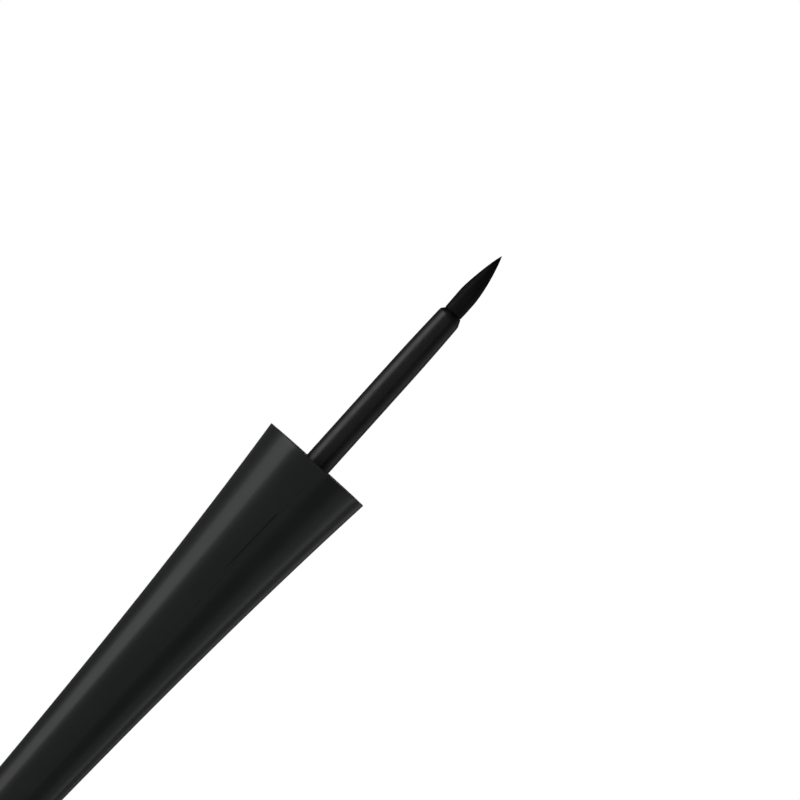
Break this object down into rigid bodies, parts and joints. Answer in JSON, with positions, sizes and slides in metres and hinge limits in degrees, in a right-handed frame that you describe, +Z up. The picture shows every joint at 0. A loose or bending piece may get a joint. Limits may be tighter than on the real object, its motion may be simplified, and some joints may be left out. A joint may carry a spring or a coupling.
{
  "type": "liquid eyeliner bottle",
  "caption": "Bell-shaped liquid eyeliner bottle with a threaded neck and wiper, and a long flared screw cap that carries a thin stem with a pointed brush, shown drawn out.",
  "frame": {"origin": "centre of the flat foot that the bottle stands on", "axes": "+Z up along the common axis of bottle, neck, stem and cap, from the foot to the tail of the cap; the curved tip of the brush leans towards +X"},
  "size_m": [0.0176, 0.0176, 0.1968],
  "materials": {
    "satin_black": "satin moulded plastic",
    "smooth_black": "smooth moulded plastic",
    "natural_plastic": "milky, unpigmented plastic",
    "soft_plastic": "soft, slightly waxy plastic",
    "foam": "dense foamed sealing ring",
    "steel": "bright stainless steel",
    "filament_black": "ink-wet synthetic filaments"
  },
  "bodies": {
    "bottle": {"bottle_sleeve": "satin_black", "base_plug": "smooth_black", "ink_vial": "natural_plastic", "wiper": "soft_plastic"},
    "ball": {"mixing_ball": "steel"},
    "liner": {"seal_liner": "foam"},
    "applicator": {"cap_shell": "satin_black", "inner_cap": "smooth_black", "applicator_stem": "smooth_black", "anchor_staple": "steel", "brush_tuft": "filament_black"}
  },
  "joints": [
    {"name": "applicator_lift", "type": "slide", "parent": "bottle", "child": "liner", "axis": [0, 0, 1], "range_m": [-0.085, 0]},
    {"name": "cap_turn", "type": "hinge", "parent": "liner", "child": "applicator", "pos_m": [0, 0, 0.1218], "axis": [0, 0, 1], "range_deg": [-720, 0]},
    {"name": "ball_rattle", "type": "slide", "parent": "bottle", "child": "ball", "axis": [0, 0, 1], "range_m": [0, 0.0282]}
  ]
}
